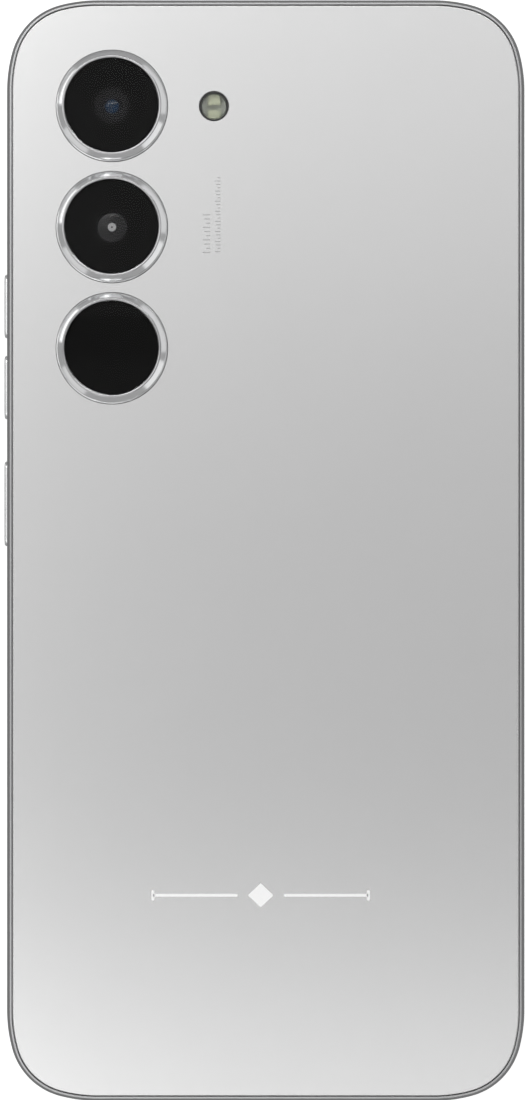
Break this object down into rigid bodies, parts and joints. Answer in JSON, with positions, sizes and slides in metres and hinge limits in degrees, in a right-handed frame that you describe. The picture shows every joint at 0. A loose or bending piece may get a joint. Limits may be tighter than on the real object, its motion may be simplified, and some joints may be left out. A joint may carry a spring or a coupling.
{
  "type": "smartphone",
  "caption": "Slab smartphone with a flat metal side frame, satin silver back, raised camera rings, side keys, SIM drawer, headphone and charging sockets.",
  "frame": {"origin": "middle of the display glass's outer face", "axes": "+Z out of the rear cover, +Y towards the top edge, +X to the right as seen from the back"},
  "size_m": [0.0776, 0.1638, 0.0098],
  "materials": {
    "frame_metal": "satin",
    "key_metal": "satin",
    "back_panel": "satin",
    "ring_metal": "polished",
    "window_glass": "polished",
    "black_print": "gloss",
    "display_glass": "polished",
    "display_layers": "gloss",
    "adhesive": "matte",
    "plate_metal": "satin",
    "circuit_board": "satin",
    "black_plastic": "matte",
    "flex_film": "satin",
    "mesh": "matte",
    "battery_film": "satin",
    "flash_plastic": "gloss",
    "sensor_face": "satin",
    "seal_rubber": "matte"
  },
  "bodies": {
    "phone": {"antenna_cable": "black_plastic", "auxiliary_camera": "black_plastic", "backlight_unit": "display_layers", "battery_cell": "battery_film", "battery_protection_board": "circuit_board", "board_chips": "black_plastic", "board_connectors": "black_plastic", "bracket_screws": "plate_metal", "camera_ring_lower": "ring_metal", "camera_ring_middle": "ring_metal", "camera_ring_upper": "ring_metal", "camera_window_lower": "window_glass", "camera_window_middle": "window_glass", "camera_window_upper": "window_glass", "cover_adhesive": "adhesive", "display_adhesive": "adhesive", "display_flex": "flex_film", "display_glass": "display_glass", "display_panel": "display_layers", "earpiece_mesh": "mesh", "earpiece_speaker": "black_plastic", "flash_led_board": "circuit_board", "flash_lens": "flash_plastic", "front_camera": "black_plastic", "headphone_jack": "black_plastic", "loudspeaker_box": "black_plastic", "lower_bracket": "black_plastic", "main_board": "circuit_board", "main_camera_housing": "plate_metal", "main_camera_sensor": "circuit_board", "main_flex": "flex_film", "microphone": "black_plastic", "mid_plate": "plate_metal", "processor_shield": "plate_metal", "radio_shield": "plate_metal", "rear_cover": "back_panel", "side_frame": "frame_metal", "side_key_flex": "flex_film", "sim_eject_lever": "plate_metal", "sim_reader_shell": "plate_metal", "snap_domes": "plate_metal", "speaker_driver": "black_plastic", "speaker_mesh": "mesh", "sub_board": "circuit_board", "upper_bracket": "black_plastic", "usb_shell": "plate_metal", "usb_tongue": "black_plastic", "vibration_motor_case": "plate_metal", "window_mask_lower": "black_print", "window_mask_middle": "black_print", "window_mask_upper": "black_print"},
    "volume_up": {"volume_up_key": "key_metal"},
    "volume_down": {"volume_down_key": "key_metal"},
    "power": {"power_key": "key_metal", "fingerprint_sensor": "sensor_face"},
    "sim_drawer": {"sim_tray": "key_metal", "sim_tray_seal": "seal_rubber"},
    "focus_lens": {"main_camera_lens": "black_plastic"},
    "diaphragm": {"speaker_diaphragm": "black_plastic"},
    "rotor": {"vibration_rotor": "plate_metal"}
  },
  "joints": [
    {"name": "volume_up_press", "type": "slide", "parent": "phone", "child": "volume_up", "axis": [1, 0, 0], "range_m": [0, 0.00025], "stiffness_N_per_m": 1200},
    {"name": "volume_down_press", "type": "slide", "parent": "phone", "child": "volume_down", "axis": [1, 0, 0], "range_m": [0, 0.00025], "stiffness_N_per_m": 1200},
    {"name": "power_press", "type": "slide", "parent": "phone", "child": "power", "axis": [1, 0, 0], "range_m": [0, 0.00025], "stiffness_N_per_m": 1200},
    {"name": "sim_tray_slide", "type": "slide", "parent": "phone", "child": "sim_drawer", "axis": [1, 0, 0], "range_m": [0, 0.03]},
    {"name": "focus_travel", "type": "slide", "parent": "phone", "child": "focus_lens", "axis": [0, 0, 1], "range_m": [0, 0.0003], "stiffness_N_per_m": 100},
    {"name": "diaphragm_travel", "type": "slide", "parent": "phone", "child": "diaphragm", "axis": [0, 0, 1], "range_m": [-0.0003, 0.0003], "stiffness_N_per_m": 300},
    {"name": "rotor_spin", "type": "hinge", "parent": "phone", "child": "rotor", "pos_m": [0.0313, -0.0699, 0.004], "axis": [0, 0, 1], "continuous": true}
  ]
}
